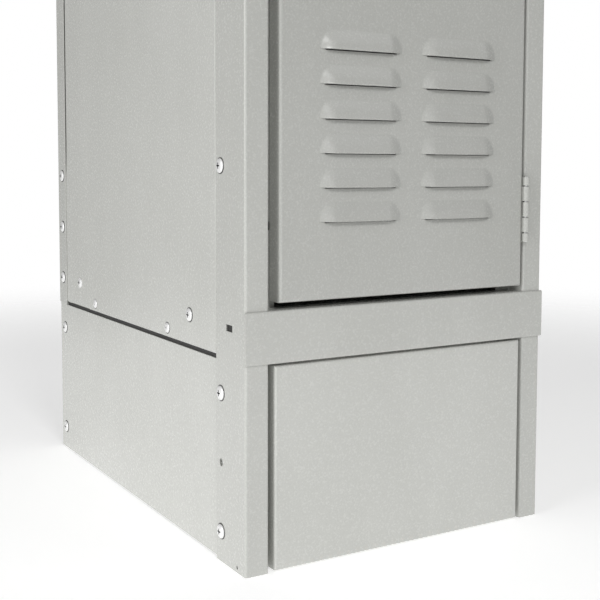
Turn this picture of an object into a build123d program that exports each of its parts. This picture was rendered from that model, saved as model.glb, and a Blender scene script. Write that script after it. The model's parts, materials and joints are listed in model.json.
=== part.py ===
from build123d import *
import math
import os

# Single-tier steel locker on a closed base, knock-down construction.  Millimetres.
# X runs to the right across the front, Z runs up from the floor, and Y runs back.
# While a piece is drawn, Y = 0 is the front plane of the uprights.  export_node moves
# every piece back or forward together, so that the origin ends at the middle of the
# finished locker's footprint.

# ---------------------------------------------------------------- driving dimensions
width = 304.8                 # over the side flanges of the uprights
depth = 457.2                 # from the uprights' front plane to the back panel
height = 1981.2               # floor to top
base_height = 168.0           # floor to the underside of the bottom cross-member
member_height = 42.0          # face of each cross-member

upright_t = 1.5               # sheet thicknesses
member_t = 1.9
panel_t = 0.8
back_t = 0.9
tray_t = 0.9
base_t = 1.2
leg_t = 2.0
door_t = 1.5
lap = 0.1                     # gap left between two sheets that lie on each other
bend_r = 1.4                  # inside radius of every bend in the heavier sheet

flange_w = 50.8               # side flange of an upright, front to back
face_w = 21.0                 # face of an upright
jamb_w = 18.5                 # depth of the jamb, up to the strike
strike_w = 15.0               # strike lip that the door shuts towards
member_over = 0.75            # cross-member beyond the uprights, each side
member_proud = 2.0
member_flange = 18.0          # depth of the cross-member's flanges
member_end_gap = 0.6          # between a cross-member's flange and the jamb

strip_w = 25.4                # back panel's flange that wraps the side
leg_w = 31.8
leg_h = 335.0
side_lift = 3.2               # side panel's lower edge above the base
tuck_front = 21.0             # side panel under the upright's flange
tuck_rear = 22.0              # side panel under the back panel's flange
joggle_w = 7.0
joggle_gap = 0.6              # between a flange's edge and the start of the joggle
side_inset = 0.2              # side panel's outer face behind the flange's outer face
rear_slit = 1.1               # side panel behind the back panel's flange

base_gap = 1.5                # end base above the floor
base_top_flange = 12.0
kick_gap = 1.6                # front base panel above the floor
kick_clear = 2.0              # front base panel below the cross-member
kick_side = 4.8               # front base panel to each jamb
kick_proud = 1.8
kick_lip = 11.0               # its inward lips, screwed to the strikes

tray_flange = 39.0            # down-turned edge of bottom and top panels
shelf_flange = 20.0
shelf_drop = 304.8            # hat shelf below the top
tray_side = 0.2               # tray's flange inside the side panel
tray_back = 2.4               # tray's rear flange in front of the legs' rear flanges

door_left_gap = 9.4           # latch side, door edge to jamb
door_right_gap = 2.6          # hinge side
door_end_gap = 5.5            # above and below
door_proud = 0.6
door_deep = 17.1              # over the pan

louvre_w = 64.0               # slit length, where the hood is at its full height
louvre_pitch = 27.45
louvre_rows = 6
louvre_first = 63.0           # lowest slit above the door's bottom edge
louvre_split = 100.3          # between the centres of the two columns
louvre_left = 1.5             # the two columns are this far left of the door's middle
louvre_hood = 16.0            # height of a hood on the door face
louvre_rise = 5.0             # how far a hood stands out
louvre_end = 4.5              # slope at each end of a hood

knuckle_r = 2.9
pin_r = 1.5
pin_clear = 0.05              # radial
hinge_lengths = (8.4, 14.0, 14.0, 14.0, 8.4)
knuckle_gap = 0.3
hinge_leaf_t = 1.0
hinge_leaf_deep = 14.0
hinge_end = 69.1              # middle of an end hinge from the door's end
axis_back = 0.5               # hinge axis inside the jamb's plane
axis_front = 3.0              # hinge axis in front of the uprights

travel = 10.0                 # lift of the latch bar
latch_zs = (500.0, 1075.0, 1700.0)
bar_left = 34.0               # latch bar, from the locker's left face
bar_w = 16.0
bar_t = 1.9
bar_front = 7.0
bar_tail = 25.0               # bar beyond its end fingers
finger_tip = 24.0
finger_h = 10.0
hook_t = 1.4
hook_h = 14.0
hook_tab = 7.9
guide_apart = 60.0            # bar guide from the finger it serves

cup_w = 64.0                  # clear width and height of the handle recess
cup_h = 140.0
cup_deep = 28.0
cup_t = 1.0
cup_rim = 9.0
cup_left = 60.0
cup_z = 1075.0

bolt_pitch = 57.15
bolt_first = 25.4
bolt_y = 42.3                 # front column of bolts behind the front plane
bolt_rear = 15.0              # rear column in front of the back
head_r = 5.9
head_h = 2.4
shank_r = 2.5
hole_r = 2.8
nut_flat = 8.0
nut_h = 3.2
nut_seat = 0.1
gang_hole_r = 3.2             # spare hole for bolting to a neighbour
tray_bolt_front = 102.5       # tray bolts behind the front plane
tray_bolt_rear = 72.2         # and in front of the back
rivet_step = 47.25            # rivets from the tray bolts, towards the middle
hook_y = 170.0                # ceiling hook behind the front plane
wall_hook_y = 230.0
wall_hook_drop = 110.0        # wall hooks below the shelf

# ---------------------------------------------------------------- derived places
left = -width / 2
right = width / 2
jamb_left = left + face_w
jamb_right = right - face_w
member_low = base_height
member_top = base_height + member_height
door_low = member_top + door_end_gap
door_high = height - member_height - door_end_gap
door_x0 = jamb_left + door_left_gap
door_x1 = jamb_right - door_right_gap
door_mid = (door_x0 + door_x1) / 2
door_back = door_deep - door_proud
door_inner = door_t - door_proud
strike_y = jamb_w
tray_front = jamb_w + upright_t + 0.2
leg_x = left + upright_t + lap + base_t + lap
leg_back = depth - back_t - lap
tray_rear = leg_back - leg_t - tray_back
panel_top = height - 0.5
tray_top = panel_top
bottom_z = member_top - 0.5
shelf_z = height - shelf_drop
axis_x = jamb_right - axis_back
axis_y = -axis_front
front_proud = max(door_proud + louvre_rise, axis_front + knuckle_r)
to_origin = Pos(0, (front_proud - depth) / 2, 0)


# ---------------------------------------------------------------- helpers
def block(x0, x1, y0, y1, z0, z1):
    """A box between two values along each axis."""
    size = (x1 - x0, y1 - y0, z1 - z0)
    return Pos((x0 + x1) / 2, (y0 + y1) / 2, (z0 + z1) / 2) * Box(*size)


def rod_x(x0, x1, y, z, r):
    """A round bar along X."""
    return Pos((x0 + x1) / 2, y, z) * Rot(0, 90, 0) * Cylinder(r, abs(x1 - x0))


def rod_y(x, y0, y1, z, r):
    """A round bar along Y."""
    return Pos(x, (y0 + y1) / 2, z) * Rot(90, 0, 0) * Cylinder(r, abs(y1 - y0))


def rod_z(x, y, z0, z1, r):
    """A round bar along Z."""
    return Pos(x, y, (z0 + z1) / 2) * Cylinder(r, z1 - z0)


def mirrored(piece):
    """The same piece for the other side of the locker."""
    return mirror(piece, about=Plane.YZ)


def offset_point(before, here, after, t):
    """Where the far surface of a sheet of thickness t bends, on its left-hand side."""
    normals = []
    for a, b in ((before, here), (here, after)):
        if a != b:
            length = math.dist(a, b)
            normals.append((-(b[1] - a[1]) / length, (b[0] - a[0]) / length))
    if len(normals) == 1:
        normals = normals * 2
    (ax, ay), (bx, by) = normals
    share = t / (1 + ax * bx + ay * by)
    return (here[0] + share * (ax + bx), here[1] + share * (ay + by))


def rounded_line(points, radii):
    """A run of straight lines whose corners are rounded."""
    if len(points) == 2:
        return Line(*points)
    return FilletPolyline(*points, radius=radii)


def bent_sheet(points, t, plane, start, length):
    """Bend a sheet along the points, its metal on their left, and extrude it."""
    ends = [points[0]] + list(points) + [points[-1]]
    trios = list(zip(ends, ends[1:], ends[2:]))
    far = [offset_point(a, b, c, t) for a, b, c in trios]
    near_r = []
    far_r = []
    for a, b, c in trios[1:-1]:
        turn = (b[0] - a[0]) * (c[1] - b[1]) - (b[1] - a[1]) * (c[0] - b[0])
        near_r.append(bend_r + t if turn > 0 else bend_r)
        far_r.append(bend_r if turn > 0 else bend_r + t)
    near_line = rounded_line(points, near_r)
    far_line = rounded_line(far, far_r)
    caps = [Line(near_line @ 0, far_line @ 0), Line(near_line @ 1, far_line @ 1)]
    outline = Wire(near_line.edges() + far_line.edges() + caps)
    return extrude(plane.offset(start) * make_face(outline), length)


def export_node(name, *solids):
    """Write one sub-part, moved so that the origin is under the locker's middle."""
    moved = [to_origin * s for piece in solids for s in piece.solids()]
    shape = moved[0] if len(moved) == 1 else Compound(children=moved)
    export_step(shape, f"parts/{name}.step")


# ---------------------------------------------------------------- fasteners
def bolt(r, h, length, thread_r=shank_r):
    """A round-headed bolt along -Z, its head standing on Z = 0, with a driver slot."""
    ball = (r * r + h * h) / (2 * h)
    dome = Pos(0, 0, h - ball) * Sphere(ball) & Pos(0, 0, h) * Box(3 * r, 3 * r, 2 * h)
    slot = Pos(0, 0, h) * Box(3 * r, 1.2, 1.6)
    return (dome - slot) + rod_z(0, 0, -length, 0.2, thread_r)


def nut(flat, h, bore):
    """A hexagonal nut on Z = 0."""
    sides = RegularPolygon(flat / 2, 6, major_radius=False)
    return extrude(sides, h) - rod_z(0, 0, -1, h + 1, bore)


def side_bolts():
    """Places of the bolts through the left flanges: y, z and thickness of the stack."""
    front_stack = upright_t + lap + base_t
    rear_base = upright_t + lap + base_t + lap + leg_t
    places = []
    for step in (0, 2):
        z = bolt_first + step * bolt_pitch
        places.append((bolt_y, z, 0, front_stack))
        places.append((depth - bolt_rear, z, upright_t + lap, rear_base))
    for step in (3, 4, 5):
        places.append((depth - bolt_rear, bolt_first + step * bolt_pitch, 0, rear_base))
    panel_stack = upright_t + lap + panel_t
    rear_stack = back_t + rear_slit + panel_t
    first = bolt_first + 5 * bolt_pitch + 12.0
    for step in range(5):
        z = first + step * 6 * bolt_pitch
        places.append((bolt_y, z, 0, panel_stack))
        if step:
            places.append((depth - bolt_rear, z, 0, rear_stack))
    return places


def tray_bolts():
    """Places of the bolts through the side panel into a tray's flange: y, z."""
    levels = (bottom_z - 13.5, shelf_z - 10.0, tray_top - 13.5)
    return [(y, z) for z in levels for y in (tray_bolt_front, depth - tray_bolt_rear)]


def tray_rivets():
    """Places of the rivets below the tray bolts, at the bottom and the top."""
    places = (tray_bolt_front + rivet_step, depth - tray_bolt_rear - rivet_step)
    return [(y, z) for z in (bottom_z - 31.0, tray_top - 31.0) for y in places]


def side_holes(cut):
    """Holes on the left for the shanks whose place passes the test."""
    holes = []
    for y, z, _, _ in side_bolts():
        if cut(y, z):
            holes.append(rod_x(left - 10, left + 20, y, z, hole_r))
    return holes


def left_side_fasteners(places, r, h, start, length):
    """Bolts whose heads stand on the left face, start being the seat's depth."""
    piece = bolt(r, h, length)
    return [Pos(left + start, y, z) * Rot(0, -90, 0) * piece for y, z in places]


# ---------------------------------------------------------------- frame
def left_upright():
    section = [
        (left, flange_w),
        (left, 0),
        (jamb_left, 0),
        (jamb_left, jamb_w),
        (jamb_left + strike_w, jamb_w),
    ]
    piece = bent_sheet(section, upright_t, Plane.XY, 0, height)
    for hole in side_holes(lambda y, z: y < depth / 2):
        piece -= hole
    spare = bolt_first + bolt_pitch
    piece -= rod_x(left - 5, left + 5, bolt_y, spare, gang_hole_r)
    piece -= rod_x(left - 5, left + 5, 14.5, 4.2, 1.5)
    piece -= block(left - 5, left + 5, 22.0, 33.2, 191.6, 197.0)
    for x, z in kick_screws():
        piece -= rod_y(x, jamb_w - 5, jamb_w + 5, z, hole_r)
    return piece


def cross_member(low):
    """Face over the uprights, with flanges that pass between the jambs."""
    front = -member_proud
    x0 = left - member_over
    x1 = right + member_over
    face = block(x0, x1, front, front + member_t, low, low + member_height)
    high = low + member_height
    inner = member_end_gap
    flange_x = (jamb_left + inner, jamb_right - inner)
    deep = front + member_flange
    lower = block(*flange_x, front + 0.5, deep, low, low + member_t)
    upper = block(*flange_x, front + 0.5, deep, high - member_t, high)
    piece = face + lower + upper
    long_edges = piece.edges().filter_by(Axis.X).group_by(Axis.Y)[0]
    return fillet(long_edges, 0.9)


def left_side_panel():
    face_x = left + side_inset
    front_x = left + upright_t + lap
    rear_x = left + back_t + rear_slit
    bend_0 = flange_w + joggle_gap
    bend_1 = depth - strip_w - joggle_gap
    line = [
        (front_x, flange_w - tuck_front),
        (front_x, bend_0),
        (face_x, bend_0 + joggle_w),
        (face_x, bend_1 - joggle_w),
        (rear_x, bend_1),
        (rear_x, depth - strip_w + tuck_rear),
    ]
    line.reverse()
    low = base_height + side_lift
    piece = bent_sheet(line, panel_t, Plane.XY, low, panel_top - low)
    for hole in side_holes(lambda y, z: z > low):
        piece -= hole
    for y, z in tray_bolts() + tray_rivets():
        piece -= rod_x(left - 5, left + 5, y, z, hole_r)
    return piece


def back_panel():
    line = [
        (right, depth - strip_w),
        (right, depth),
        (left, depth),
        (left, depth - strip_w),
    ]
    low = base_height
    piece = bent_sheet(line, back_t, Plane.XY, low, panel_top - low)
    for hole in side_holes(lambda y, z: y > depth / 2 and z > low):
        piece = piece - hole - mirrored(hole)
    return piece


def tray(top, flange):
    """Bottom, shelf or top: a flat sheet turned down on four sides."""
    in_x = left + side_inset + panel_t + tray_side
    leg_in = leg_x + leg_t + 0.3
    bend_0 = flange_w + joggle_gap + joggle_w + 2.0
    bend_1 = depth - strip_w - joggle_gap - joggle_w - 2.0
    low = top - flange
    plate = block(leg_in, -leg_in, tray_front, tray_rear, top - tray_t, top)
    wings = block(in_x, -in_x, bend_0, bend_1, top - tray_t, top)
    piece = plate + wings
    for x0, x1 in ((in_x, in_x + tray_t), (-in_x - tray_t, -in_x)):
        piece += block(x0, x1, bend_0, bend_1, low, top)
    end_in = leg_in + leg_w
    piece += block(end_in, -end_in, tray_front, tray_front + tray_t, low, top)
    piece += block(end_in, -end_in, tray_rear - tray_t, tray_rear, low, top)
    for y, z in tray_bolts() + tray_rivets():
        if low < z < top:
            piece -= rod_x(left - 5, right + 5, y, z, hole_r)
    return piece


def kick_screws():
    """Screws that hold the front base panel to the left strike: x, z."""
    x = jamb_left + kick_side + base_t + kick_lip / 2
    return [(x, z) for z in (30.0, base_height - 32.0)]


def front_base_panel():
    x0 = jamb_left + kick_side
    x1 = jamb_right - kick_side
    low = kick_gap
    high = base_height - kick_clear
    back = jamb_w - 0.1
    front = -kick_proud
    shell = block(x0, x1, front, back, low, high)
    shell -= block(x0 + base_t, x1 - base_t, front + base_t, back + 1, low + base_t, high - base_t)
    shell = fillet(shell.edges().group_by(Axis.Y)[0], 2.0)
    deep = 10.0
    shell -= block(x0 + base_t, x1 - base_t, deep, back + 1, low - 1, high + 1)
    lip = block(x0 + 0.5, x0 + base_t + kick_lip, back - base_t, back, low + 4, high - 4)
    for x, z in kick_screws():
        lip -= rod_y(x, back - 5, back + 5, z, hole_r)
    return shell + lip + mirrored(lip)


def left_end_base():
    x0 = left + upright_t + lap
    piece = block(x0, x0 + base_t, flange_w - tuck_front, depth, base_gap, base_height)
    bend_1 = leg_back - leg_w - 4.0
    top = base_height
    piece += block(x0, x0 + base_top_flange, flange_w + 2, bend_1, top - base_t, top)
    for hole in side_holes(lambda y, z: z < base_height):
        piece -= hole
    spare = bolt_first + bolt_pitch
    return piece - rod_x(left - 5, left + 5, bolt_y, spare, gang_hole_r)


def left_rear_leg():
    line = [
        (leg_x + leg_w, leg_back),
        (leg_x, leg_back),
        (leg_x, leg_back - leg_w),
    ]
    piece = bent_sheet(line, leg_t, Plane.XY, 0, leg_h)
    for hole in side_holes(lambda y, z: y > depth / 2 and z < leg_h):
        piece -= hole
    return piece


# ---------------------------------------------------------------- door
def louvre_bottoms():
    """Heights of the slits: six rows at the bottom and six at the top of the door."""
    rows = []
    for k in range(louvre_rows):
        rows.append(door_low + louvre_first + k * louvre_pitch)
        rows.append(door_high - louvre_first - louvre_hood - k * louvre_pitch)
    return rows


def frustum(x, z, front, w, h, rise, end, top_h):
    """A solid on the door face whose top and ends slope out to its lower edge."""
    x0 = x - w / 2
    wide = [(x0, z), (x0 + w, z), (x0 + w, z + h), (x0, z + h)]
    slim = [(x0 + end, z), (x0 + w - end, z), (x0 + w - end, z + top_h), (x0 + end, z + top_h)]
    wide_face = make_face(Polyline(*[(a, front, b) for a, b in wide], close=True))
    slim_face = make_face(Polyline(*[(a, front - rise, b) for a, b in slim], close=True))
    return loft([wide_face, slim_face])


def door_panel():
    front = -door_proud
    shell = block(door_x0, door_x1, front, door_back, door_low, door_high)
    t = door_t
    shell -= block(door_x0 + t, door_x1 - t, front + t, door_back + 1, door_low + t, door_high - t)
    shell = fillet(shell.edges().group_by(Axis.Y)[0], bend_r)
    wall = 1.1
    hoods = []
    holes = []
    for column in (-0.5, 0.5):
        x = door_mid - louvre_left + column * louvre_split
        for z in louvre_bottoms():
            w = louvre_w + 2 * louvre_end
            hood = frustum(x, z, front + 0.3, w, louvre_hood, louvre_rise + 0.3, louvre_end, 2.2)
            inner_w = w - 2 * wall - 1.2
            inner_h = louvre_hood - wall - 1.0
            inner_rise = louvre_rise - wall + 0.7
            room = frustum(x, z - 0.01, front + 0.7, inner_w, inner_h, inner_rise, louvre_end, 1.2)
            slot = block(x - inner_w / 2, x + inner_w / 2, front + 0.6, front + t + 1, z, z + inner_h)
            hoods.append(hood)
            holes += [room, slot]
    shell = shell.fuse(*hoods).cut(*holes)
    shell -= block(cup_x0() - cup_t - 0.2, cup_x0() + cup_w + cup_t + 0.2, -5, 5,
                   cup_z - cup_h / 2 - cup_t - 0.2, cup_z + cup_h / 2 + cup_t + 0.2)
    for z0 in latch_zs:
        low = z0 + 1 - travel - 1.5
        shell -= block(door_x0 - 1, door_x0 + t + 1, bar_front - 1, bar_front + bar_t + 1,
                       low, z0 + 1 + finger_h + 1.5)
    for x, z in plate_rivets():
        shell -= rod_y(x, -5, 5, z, 1.7)
    for x, z in guide_rivets():
        shell -= rod_y(x, -5, 5, z, 1.7)
    return shell


def door_stiffener():
    """Hat section down the middle of the door, between the two groups of louvres."""
    x = door_mid + 22.0
    seat = door_inner + lap
    half = 26.0
    deep = 12.0
    line = [
        (x + half + 14, seat),
        (x + half, seat),
        (x + half - 3, seat + deep),
        (x - half + 3, seat + deep),
        (x - half, seat),
        (x - half - 14, seat),
    ]
    line.reverse()
    group = louvre_first + (louvre_rows - 1) * louvre_pitch + louvre_hood + 20.0
    low = door_low + group
    high = door_high - group
    return bent_sheet(line, 1.0, Plane.XY, low, high - low)


def cup_x0():
    return left + cup_left


def handle_cup():
    """Drawn recess with a rim on the door face and a slot for the trigger's arm."""
    x0 = cup_x0()
    x1 = x0 + cup_w
    z0 = cup_z - cup_h / 2
    z1 = cup_z + cup_h / 2
    rim_back = -door_proud - lap
    rim_front = rim_back - cup_t
    rim = block(x0 - cup_rim, x1 + cup_rim, rim_front, rim_back, z0 - cup_rim, z1 + cup_rim)
    rim = fillet(rim.edges().filter_by(Axis.Y), 6.0)
    body = block(x0 - cup_t, x1 + cup_t, rim_front, cup_deep, z0 - cup_t, z1 + cup_t)
    room = block(x0, x1, rim_front - 1, cup_deep - cup_t, z0, z1)
    room = fillet(room.edges().filter_by(Axis.Y), 4.0)
    piece = rim + fillet(body.edges().filter_by(Axis.Y), 4.9) - room
    arm_z = trigger_arm_z()
    slot = block(x0 - cup_t - 1, x0 + 5, bar_front + bar_t - 1.0, bar_front + 2 * bar_t + 1.2,
                 arm_z[0] - travel - 1, arm_z[1] + 1)
    return piece - slot


def trigger_arm_z():
    return (cup_z + 6.0, cup_z + 20.0)


def padlock_eye():
    """Staple on the back of the recess, with the hole that takes a padlock's shackle."""
    x = cup_x0() + cup_w / 2
    low = cup_z - 58.0
    tongue = block(x - 1.2, x + 1.2, 5.0, cup_deep - cup_t - lap, low, low + 22)
    tongue = fillet(tongue.edges().filter_by(Axis.X).group_by(Axis.Y)[0], 6.0)
    foot = block(x - 9, x + 9, cup_deep - cup_t - lap - 1.6, cup_deep - cup_t - lap, low, low + 22)
    return tongue + foot - rod_x(x - 5, x + 5, 14.0, low + 11, 4.8)


def plate_rivets():
    return [(door_mid + dx, 1500.0) for dx in (-24.0, 24.0)]


def number_plate():
    x = door_mid
    z = 1500.0
    back = -door_proud - lap
    plate = block(x - 32, x + 32, back - 0.8, back, z - 12.7, z + 12.7)
    plate = fillet(plate.edges().filter_by(Axis.Y), 3.0)
    for px, pz in plate_rivets():
        plate -= rod_y(px, -5, 5, pz, 1.7)
    return plate


def rivet(length, r=1.5, head=2.8, h=0.9):
    """A domed blind rivet along -Z with its head on Z = 0."""
    ball = (head * head + h * h) / (2 * h)
    dome = Pos(0, 0, h - ball) * Sphere(ball) & Pos(0, 0, h) * Box(3 * head, 3 * head, 2 * h)
    return dome + rod_z(0, 0, -length, 0.1, r)


def guide_zs():
    """Heights of the bar's guides: inside the end fingers, beside the cup and between."""
    beside_cup = cup_h / 2 + guide_apart / 2
    ends = (latch_zs[0] + guide_apart, latch_zs[2] - guide_apart)
    middles = (cup_z - beside_cup, cup_z + beside_cup)
    heights = []
    for end, middle in zip(ends, middles):
        heights += [end, (end + middle) / 2, middle]
    return sorted(heights)


def guide_rivets():
    """Rivets through the feet of the bar guides: x, z."""
    feet = (left + bar_left - 0.9, left + bar_left + bar_w + 6.4)
    return [(feet[1], z) for z in guide_zs()]


def bar_guides():
    """Straps that hold the latch bar to the back of the door face."""
    seat = door_inner + lap
    x0 = left + bar_left
    x1 = x0 + bar_w
    top = bar_front + bar_t + 0.4
    t = 1.0
    guides = []
    for z in guide_zs():
        near = block(x0 - 0.4 - t, x0 - 0.4, seat, top + t, z - 9, z + 9)
        roof = block(x0 - 0.4 - t, x1 + 0.4 + t, top, top + t, z - 9, z + 9)
        far = block(x1 + 0.4, x1 + 0.4 + t, seat, top + t, z - 9, z + 9)
        foot = block(x1 + 0.4, x1 + 12.0, seat, seat + t, z - 9, z + 9)
        floor = block(x0 - 0.4 - t, x1 + 0.4 + t, seat, seat + t, z - 9, z + 9)
        guides.append(near + roof + far + foot + floor)
    return [g - rod_y(x, -5, 5, z, 1.7) for g, (x, z) in zip(guides, guide_rivets())]


# ---------------------------------------------------------------- latch
def latch_bar():
    """One flat blank: a long bar with a finger beside each frame hook."""
    x0 = left + bar_left
    y0 = bar_front
    y1 = bar_front + bar_t
    low = latch_zs[0] - bar_tail
    high = latch_zs[-1] + bar_tail
    piece = block(x0, x0 + bar_w, y0, y1, low, high)
    for z0 in latch_zs:
        piece += block(left + finger_tip, x0 + 1, y0, y1, z0 + 1, z0 + 1 + finger_h)
    for z in trigger_rivet_zs():
        piece -= rod_y(x0 + bar_w / 2, -5, 50, z, 1.7)
    return piece


def trigger_rivet_zs():
    low, high = trigger_arm_z()
    return (low + 3.5, high - 3.5)


def lift_trigger():
    """Finger lift in the recess, with an arm that carries the latch bar."""
    x0 = cup_x0() + 10.0
    x1 = cup_x0() + cup_w - 10.0
    low = cup_z + 2.0
    high = cup_z + 50.0
    arm_y = bar_front + bar_t + lap
    back = block(x0, x1, arm_y, arm_y + bar_t, low, high)
    lip = block(x0, x1, 2.0, arm_y + bar_t, low, low + 3.0)
    lip = lip + block(x0, x1, 2.0, 4.4, low, low + 9.0)
    arm = block(left + bar_left + 2, x0 + 1, arm_y, arm_y + bar_t, *trigger_arm_z())
    piece = back + lip + arm
    for z in trigger_rivet_zs():
        piece -= rod_y(left + bar_left + bar_w / 2, -5, 50, z, 1.7)
    return piece


def frame_hooks():
    """Angles welded to the left jamb that the latch fingers drop behind."""
    x0 = jamb_left + lap
    tab_y = bar_front - 0.6 - hook_t
    hooks = []
    for z0 in latch_zs:
        base = block(x0, x0 + hook_t, tab_y, jamb_w - 1.5, z0 - hook_h, z0)
        tab = block(x0, x0 + hook_tab, tab_y, tab_y + hook_t, z0 - hook_h, z0)
        hooks.append(base + tab)
    return hooks


def bumpers():
    """Rubber buttons on the left strike that stop the door's edge."""
    x = door_x0 + 1.6
    places = (door_low + 60.0, (door_low + door_high) / 2 + 60, door_high - 60.0)
    return [rod_y(x, door_back + 0.3, strike_y - 0.05, z, 3.6) for z in places]


# ---------------------------------------------------------------- hinges
def hinge_spans(middle):
    """Lowest and highest point of each knuckle, from the bottom up."""
    spans = []
    z = middle - sum(hinge_lengths) / 2
    for length in hinge_lengths:
        spans.append((z + knuckle_gap / 2, z + length - knuckle_gap / 2))
        z += length
    return spans


def hinge_leaf(middle, turn, x0, x1):
    """Knuckles whose number is odd or even, with a leaf between x0 and x1."""
    spans = hinge_spans(middle)
    low = spans[0][0]
    high = spans[-1][1]
    leaf_front = axis_y + knuckle_r + 0.4
    piece = block(x0, x1, leaf_front, leaf_front + hinge_leaf_deep, low, high)
    for z0, z1 in spans[turn::2]:
        piece += rod_z(axis_x, axis_y, z0, z1, knuckle_r)
        piece += block(x0, x1, axis_y, leaf_front + 1, z0, z1)
    return piece - rod_z(axis_x, axis_y, low - 5, high + 5, pin_r + pin_clear)


def hinge_middles():
    low = door_low + hinge_end
    high = door_high - hinge_end
    return {"lower": low, "middle": (low + high) / 2, "upper": high}


def frame_leaf(middle):
    x1 = jamb_right - lap
    return hinge_leaf(middle, 0, x1 - hinge_leaf_t, x1)


def door_leaf(middle):
    x0 = door_x1 + lap
    return hinge_leaf(middle, 1, x0, x0 + hinge_leaf_t)


def hinge_pin(middle):
    half = sum(hinge_lengths) / 2
    return rod_z(axis_x, axis_y, middle - half, middle + half, pin_r)


# ---------------------------------------------------------------- hooks inside
def swept_rod(points, radii, r):
    """A bent round rod, its ends domed."""
    path = FilletPolyline(*points, radius=radii)
    ring = Plane(origin=path @ 0, z_dir=path % 0) * Circle(r)
    rod = sweep(ring, path=path)
    return rod + Pos(path @ 1) * Sphere(r * 1.25)


def ceiling_hook():
    """Double prong hook under the shelf."""
    y = hook_y
    top = shelf_z - tray_t - lap
    plate = block(-14, 14, y - 9, y + 9, top - 2.0, top)
    plate = fillet(plate.edges().filter_by(Axis.Z), 5.0)
    stem = rod_z(0, y, top - 12, top - 1, 4.0)
    piece = plate + stem
    for side in (-1, 1):
        line = [(0, y, top - 9), (side * 30, y, top - 40), (side * 42, y, top - 18)]
        piece += swept_rod(line, [10.0], 3.0)
    for x in (-9.5, 9.5):
        piece -= rod_z(x, y, top - 5, top + 5, 1.9)
    return piece


def left_wall_hook():
    """Single prong hook on the side panel."""
    x = left + side_inset + panel_t + lap
    y = wall_hook_y
    z = shelf_z - wall_hook_drop
    plate = block(x, x + 2.0, y - 8, y + 8, z - 22, z + 22)
    plate = fillet(plate.edges().filter_by(Axis.X), 6.0)
    line = [(x + 1, y, z - 8), (x + 34, y, z - 14), (x + 38, y, z + 8)]
    piece = plate + swept_rod(line, [9.0], 3.0)
    for dz in (-15.5, 15.5):
        piece -= rod_x(x - 5, x + 10, y, z + dz, 1.9)
    return piece


def hook_screws():
    """Short screws through the plates of the three hooks."""
    screws = []
    for x in (-9.5, 9.5):
        seat = Pos(x, hook_y, shelf_z - tray_t - lap - 2.0) * Rot(180, 0, 0)
        screws.append(seat * rivet(2.0 + lap - 0.02, 1.7, 3.1, 1.4))
    x = left + side_inset + panel_t + lap + 2.0
    z = shelf_z - wall_hook_drop
    for dz in (-15.5, 15.5):
        screw = Rot(0, 90, 0) * rivet(2.0 + lap - 0.02, 1.7, 3.1, 1.4)
        screw = Pos(x, wall_hook_y, z + dz) * screw
        screws += [screw, mirrored(screw)]
    return screws


# ---------------------------------------------------------------- fastener groups
def frame_bolts():
    piece = []
    for y, z, start, stack in side_bolts():
        one = Pos(left + start, y, z) * Rot(0, -90, 0) * bolt(head_r, head_h, stack - start + 5.0)
        piece += [one, mirrored(one)]
    return piece


def frame_nuts():
    piece = []
    for y, z, _, stack in side_bolts():
        one = Pos(left + stack + nut_seat, y, z) * Rot(0, 90, 0) * nut(nut_flat, nut_h, shank_r + 0.05)
        piece += [one, mirrored(one)]
    return piece


def panel_bolts():
    stack = panel_t + tray_side + tray_t
    bolts = left_side_fasteners(tray_bolts(), 5.6, 2.2, side_inset, stack + 4.4)
    return bolts + [mirrored(b) for b in bolts]


def panel_nuts():
    x = left + side_inset + panel_t + tray_side + tray_t + nut_seat
    one = Rot(0, 90, 0) * nut(nut_flat, nut_h, shank_r + 0.05)
    nuts = [Pos(x, y, z) * one for y, z in tray_bolts()]
    return nuts + [mirrored(n) for n in nuts]


def panel_rivets():
    stack = panel_t + tray_side + tray_t
    piece = rivet(stack + 1.2, 2.4, 4.8, 1.6)
    rivets = [Pos(left + side_inset, y, z) * Rot(0, -90, 0) * piece for y, z in tray_rivets()]
    return rivets + [mirrored(r) for r in rivets]


def base_screws():
    """Screws from behind the strikes into the front base panel's lips."""
    y = jamb_w + upright_t
    stack = upright_t + 0.1 + base_t
    one = Rot(-90, 0, 0) * bolt(4.6, 2.0, stack + 3.0)
    screws = [Pos(x, y, z) * one for x, z in kick_screws()]
    return screws + [mirrored(s) for s in screws]


def small_rivets(places, seat, length):
    """Domed rivets put in from the front of the door."""
    one = Rot(90, 0, 0) * rivet(length)
    return [Pos(x, seat, z) * one for x, z in places]


def trigger_rivets():
    seat = bar_front + 2 * bar_t + lap
    x = left + bar_left + bar_w / 2
    one = Rot(-90, 0, 0) * rivet(2 * bar_t + lap - 0.05, 1.6, 2.9, 0.9)
    return [Pos(x, seat, z) * one for z in trigger_rivet_zs()]


# ---------------------------------------------------------------- build
os.makedirs("parts", exist_ok=True)

pairs = {
    "front_upright": left_upright(),
    "side_panel": left_side_panel(),
    "end_base": left_end_base(),
    "rear_leg": left_rear_leg(),
    "wall_hook": left_wall_hook(),
}
for name, piece in pairs.items():
    export_node("left_" + name, piece)
    export_node("right_" + name, mirrored(piece))

export_node("bottom_cross_member", cross_member(member_low))
export_node("top_cross_member", cross_member(height - member_height))
export_node("back_panel", back_panel())
export_node("bottom_panel", tray(bottom_z, tray_flange))
export_node("hat_shelf", tray(shelf_z, shelf_flange))
export_node("top_panel", tray(tray_top, tray_flange))
export_node("front_base_panel", front_base_panel())
export_node("frame_hooks", *frame_hooks())
export_node("door_bumpers", *bumpers())
export_node("ceiling_hook", ceiling_hook())

for name, middle in hinge_middles().items():
    export_node("hinge_frame_leaf_" + name, frame_leaf(middle))
    export_node("hinge_door_leaf_" + name, door_leaf(middle))
    export_node("hinge_pin_" + name, hinge_pin(middle))

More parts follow.
